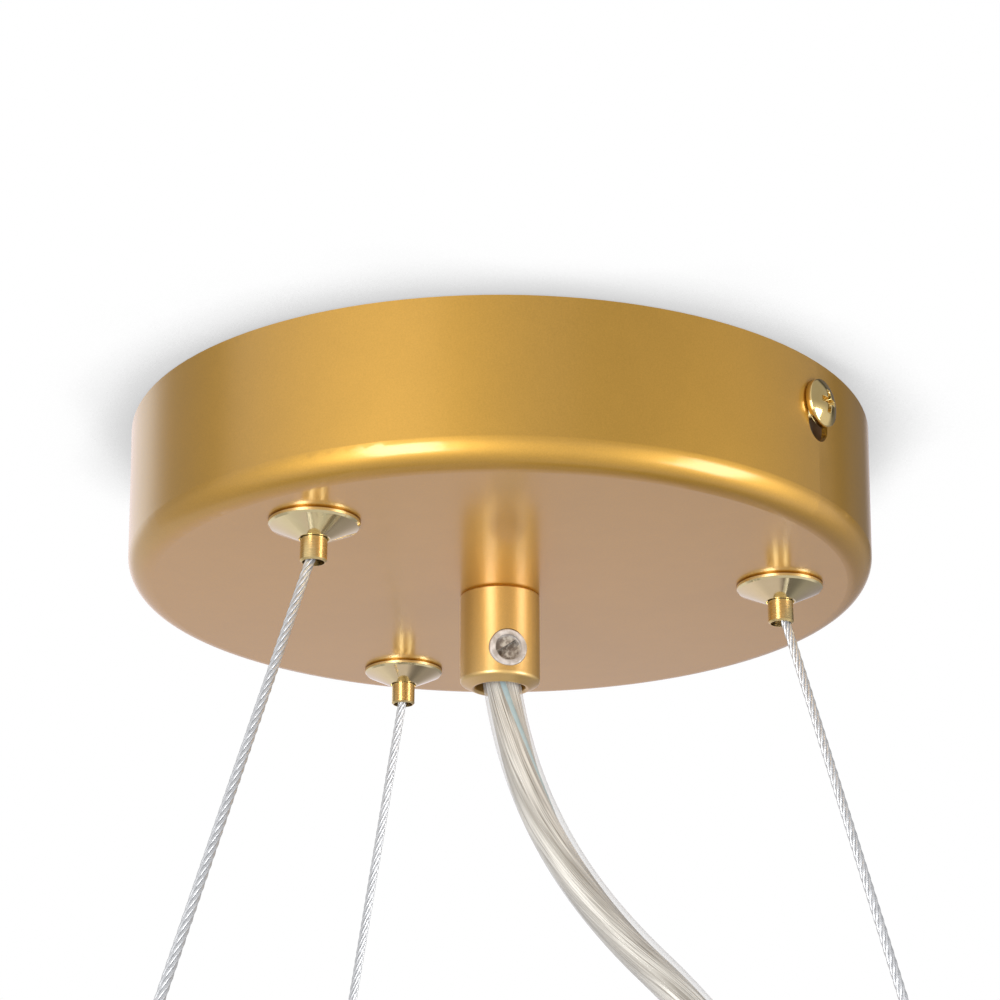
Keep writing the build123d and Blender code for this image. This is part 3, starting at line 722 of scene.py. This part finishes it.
def tinned_strands():
    finish = Finish("tinned_strands", Metallic=0.15)
    place = finish.place("UV")
    round_way = place.part(0)
    onward = place.part(1)
    slant = round_way - 0.08 * onward
    fine = finish.start.node("ShaderNodeCombineXYZ", {}, {0: slant * 9500.0, 1: onward * 90.0})
    broad = finish.start.node("ShaderNodeCombineXYZ", {}, {0: slant * 1500.0, 1: onward * 30.0, 2: 7.0})
    wires = finish.start.node("ShaderNodeTexNoise", {}, {"Vector": fine, "Scale": 1.0, "Detail": 2.0})
    bands = finish.start.node("ShaderNodeTexNoise", {}, {"Vector": broad, "Scale": 1.0, "Detail": 1.0})
    lobes = (round_way * (3 / BUNDLE) + np.pi / 2).wave()
    # Painted highlights and shade: the streaks are partly the wires' own lines, partly painted glints on them
    # and painted shade between them.
    streaks_and_sheen = (0.7 * wires + 0.3 * bands).rise(0.34, 0.64)
    # Painted shade: darker between the three lobes of the bundle, where the cores meet.
    painted_core_shade = 0.5 + 0.5 * lobes.rise(0.0, 0.35)
    strands = streaks_and_sheen.blend((0.20, 0.17, 0.13, 1), (0.86, 0.83, 0.76, 1))
    color = painted_core_shade.blend((0.34, 0.31, 0.26, 1), strands)
    return finish.links(Base_Color=color, Roughness=0.45 + 0.15 * wires, Normal=wires.bump(0.15, 0.00004))


bundle_turn = np.linspace(0, 2 * np.pi, BUNDLE_SIDES, endpoint=False)
bundle_outline = BUNDLE + BUNDLE_LOBE * np.cos(3 * bundle_turn)
outside = np.cross(unit(np.gradient(flex_line, axis=0)), -away_from_camera)
lean = np.interp(travel(flex_line), LEAN_BETWEEN, [0, LEAN])[:, None] * outside
cores_line = flex_line + lean
bundle_way = twisted(cores_line, away_from_camera, FLEX_LAY, THREAD_START - np.pi / 3, 0.0)[1]
bundle_rings = tube_rings(cores_line, bundle_way, bundle_outline, BUNDLE_SIDES)
core_piece = mesh_piece("flex_conductors", [bundle_rings], tinned_strands())
thread_line, thread_way = twisted(cores_line, away_from_camera, FLEX_LAY, THREAD_START, THREAD_REACH)
teal_thread = moulded("teal_thread", (0.30, 0.42, 0.44), (0.42, 0.54, 0.56), 0.5)
thread_rings = tube_rings(thread_line, thread_way, THREAD, STRAND_SIDES)
thread_piece = mesh_piece("flex_thread", [thread_rings], teal_thread)

# %% [markdown]
# ### The flex's bare end
# At its free end the sheath is cut back, and the three cores spread out to their ferrules. The sheath
# itself comes last.

# %% End cores
CORE = 0.002
CORE_SIDES = 16
end_routes = np.array([
    [(26.18, 30.01, -182.29), (24.16, 28.45, -189.02), (21.72, 27.85, -197.14), (19.24, 27.80, -205.37)],
    [(27.47, 27.96, -182.20), (25.45, 26.40, -188.93), (24.17, 23.96, -196.97), (23.38, 21.24, -205.09)],
    [(25.15, 27.96, -181.51), (23.13, 26.40, -188.24), (19.76, 23.96, -195.64), (15.95, 21.24, -202.85)],
]) / 1000
end_lines = [points_on(spline_of("end_line", route)) for route in end_routes]
end_tubes = [tube_rings(line, away_from_camera, CORE / 2, CORE_SIDES) for line in end_lines]
end_piece = mesh_piece("flex_end_leads", end_tubes, finishes["clear_core"])
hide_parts("flex_end_cores")

# %% Sheath
sheath_rings = tube_rings(flex_line, away_from_camera, FLEX / 2, SHEATH_SIDES)
sheath = mesh_piece("flex_sheath", [sheath_rings], finishes["clear_sheath"])
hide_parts("flex_sheath_inner", "flex_drop", "flex_coil", "flex_tail")

# %% [markdown]
# ### Leads inside the cup
# Above the gland the three cores part and run to the terminal block, and a green and yellow lead joins
# the block's earth pole to the bracket. Their routes are short, so a few points are enough. Every ring
# starts at one fixed way that no lead runs along.

# %% Inner leads
inner_leads = {
    "core_line": [(-1.212, 0.7, -15), (-1.212, 0.7, -7), (-9.5, -7, -7), (-9.5, -15, -7)],
    "core_neutral": [(0, -1.4, -15), (0, -1.4, -7), (0, -15, -7)],
    "core_earth": [(1.212, 0.7, -15), (1.212, 0.7, -7), (9.5, -7, -7), (9.5, -15, -7)],
    "earth_lead": [
        (18, -5, -3.3), (18, -13, -3.3), (19, -20, -5.3), (19, -27, -7),
        (17.5, -33.5, -7), (13, -36.5, -7), (9.5, -33.5, -7), (9.5, -26, -7),
    ],
}
lead_outward = np.array([0.8, 0.1, 0.6])
for node, route in inner_leads.items():
    line = points_on(spline_of(f"{node}_line", np.array(route) / 1000))
    tube = tube_rings(line, lead_outward, CORE / 2, CORE_SIDES)
    lead = mesh_piece(f"{node}_wire", [tube], finishes[slot_of[node]])
    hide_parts(node)
    print(node, "length", round(travel(line)[-1], 4))

# %% [markdown]
# ## Ceiling and light
# The canopy hangs on a plain white ceiling. Only the camera sees it: it is white, and darkens where the
# canopy stands close, which is the soft contact shadow. Seen from above it lets the view through, so the
# inside of the cup shows.

# %% Ceiling
CEILING_REACH = 4.0
CEILING_HEIGHT = 0.0002
SHADOW_REACH = 0.06
SHADOW_GAIN = 2.07
SHADOW_START = 0.56
SHADOW_DARKEST = 0.6


def ceiling_paint():
    material = bpy.data.materials.new("ceiling_paint")
    material.use_nodes = True
    tree = material.node_tree
    tree.nodes.clear()
    start = Shade(tree)
    open_sky = start.node("ShaderNodeAmbientOcclusion", {"samples": 8}, {"Distance": SHADOW_REACH}, "AO")
    darkened = SHADOW_GAIN * open_sky - SHADOW_START
    shade = start.node("ShaderNodeClamp", {}, {"Value": darkened, "Min": SHADOW_DARKEST})
    white = start.node("ShaderNodeEmission", {}, {"Color": (1, 1, 1, 1), "Strength": shade})
    clear = start.node("ShaderNodeBsdfTransparent", {}, {})
    behind = start.node("ShaderNodeNewGeometry", {}, {}, "Backfacing")
    mixed = start.node("ShaderNodeMixShader", {}, {0: behind, 1: white, 2: clear})
    output = tree.nodes.new("ShaderNodeOutputMaterial")
    tree.links.new(mixed.socket, output.inputs["Surface"])
    return material


ceiling_corners = CEILING_REACH * np.array([(-1, -1, 0), (-1, 1, 0), (1, 1, 0), (1, -1, 0)])
ceiling_mesh = bpy.data.meshes.new("ceiling")
ceiling_mesh.from_pydata(ceiling_corners + (0, 0, CEILING_HEIGHT), [], [(0, 1, 2, 3)])
ceiling_mesh.materials.append(ceiling_paint())
ceiling = bpy.data.objects.new("ceiling", ceiling_mesh)
bpy.context.scene.collection.objects.link(ceiling)
ceiling.visible_shadow = False
ceiling.visible_diffuse = False
ceiling.visible_glossy = False

# %% [markdown]
# Two soft boxes stand to the left and to the right of the camera, and both end just below the ceiling.
# They draw the two pale stripes on the gland and on every plunger, and they light the cup's wall.

# %% Soft boxes
BOX_AWAY = 0.80


def toward(azimuth):
    """Level way from the canopy. The azimuth is measured in degrees from the camera's side, positive to its
    right."""
    way = CAMERA_TURN + np.radians(azimuth)
    return np.array([np.sin(way), -np.cos(way), 0.0])


def soft_box(name, azimuth, low, high, width, radiance):
    """Upright rectangular lamp that faces the canopy from BOX_AWAY, with even brightness over its face."""
    lamp = bpy.data.lights.new(name, "AREA")
    lamp.shape = "RECTANGLE"
    lamp.size = width
    lamp.size_y = high - low
    lamp.energy = radiance * np.pi * width * (high - low)
    holder = bpy.data.objects.new(name, lamp)
    holder.location = BOX_AWAY * toward(azimuth) + (0, 0, (low + high) / 2)
    holder.rotation_euler = (np.pi / 2, 0, CAMERA_TURN + np.radians(azimuth))
    holder.visible_camera = False
    bpy.context.scene.collection.objects.link(holder)


soft_box("soft_box_left", -28, -0.62, -0.02, 0.32, 8.0)
soft_box("soft_box_right", 65, -0.62, -0.04, 0.32, 6.0)

# %% [markdown]
# The rest of the room is pale and plain. Polished metal needs something to mirror, so for reflections the
# room has a dark card behind the canopy on the right, a greyer one on the left, and a floor that is a
# little darker than the walls. Above eye level it is paler behind and on the left and dimmer elsewhere,
# most of all on the right, and straight behind it has a faint blush. These give the cones and the edges
# of the cup their light and dark sides.

# %% Surroundings
world = bpy.data.worlds.new("surroundings")
world.use_nodes = True
tree = world.node_tree
ray = tree.nodes.new("ShaderNodeLightPath")
background = tree.nodes["Background"]
camera_ray = Shade(tree, ray.outputs["Is Camera Ray"])
glossy_ray = Shade(tree, ray.outputs["Is Glossy Ray"])
sky = Shade(tree).node("ShaderNodeTexCoord", {}, {}, "Generated")
level = sky.vector("MULTIPLY", (1, 1, 0)).vector("NORMALIZE")


def strip(azimuth, full, end):
    """1 within some degrees of an azimuth, from floor to ceiling, and 0 past the end."""
    facing = level.vector("DOT_PRODUCT", tuple(toward(azimuth)), "Value")
    return facing.rise(np.cos(np.radians(end)), np.cos(np.radians(full)))


dark_right = strip(143, 12, 33)
dark_left = strip(-106, 10, 22)
pale_back = strip(-166, 28, 42)
pale_left = strip(-52, 26, 42)
dim_right = strip(75, 45, 60)
low_floor = sky.part(2).rise(-0.70, -0.86)
upper = sky.part(2).rise(-0.05, 0.25)
above = 0.55 * pale_back + 0.28 * pale_left - 0.18 * dim_right - 0.16
mirrored = 0.20 - 0.44 * dark_right - 0.30 * dark_left - 0.14 * low_floor + upper * above
strength = 0.55 + 0.45 * camera_ray + glossy_ray * mirrored
blush = (glossy_ray * strip(180, 15, 40)).blend((1, 1, 1, 1), (1.0, 0.92, 0.97, 1))
tree.links.new(strength.socket, background.inputs["Strength"])
tree.links.new(blush.socket, background.inputs["Color"])
bpy.context.scene.world = world
bpy.context.scene.view_settings.view_transform = "Standard"
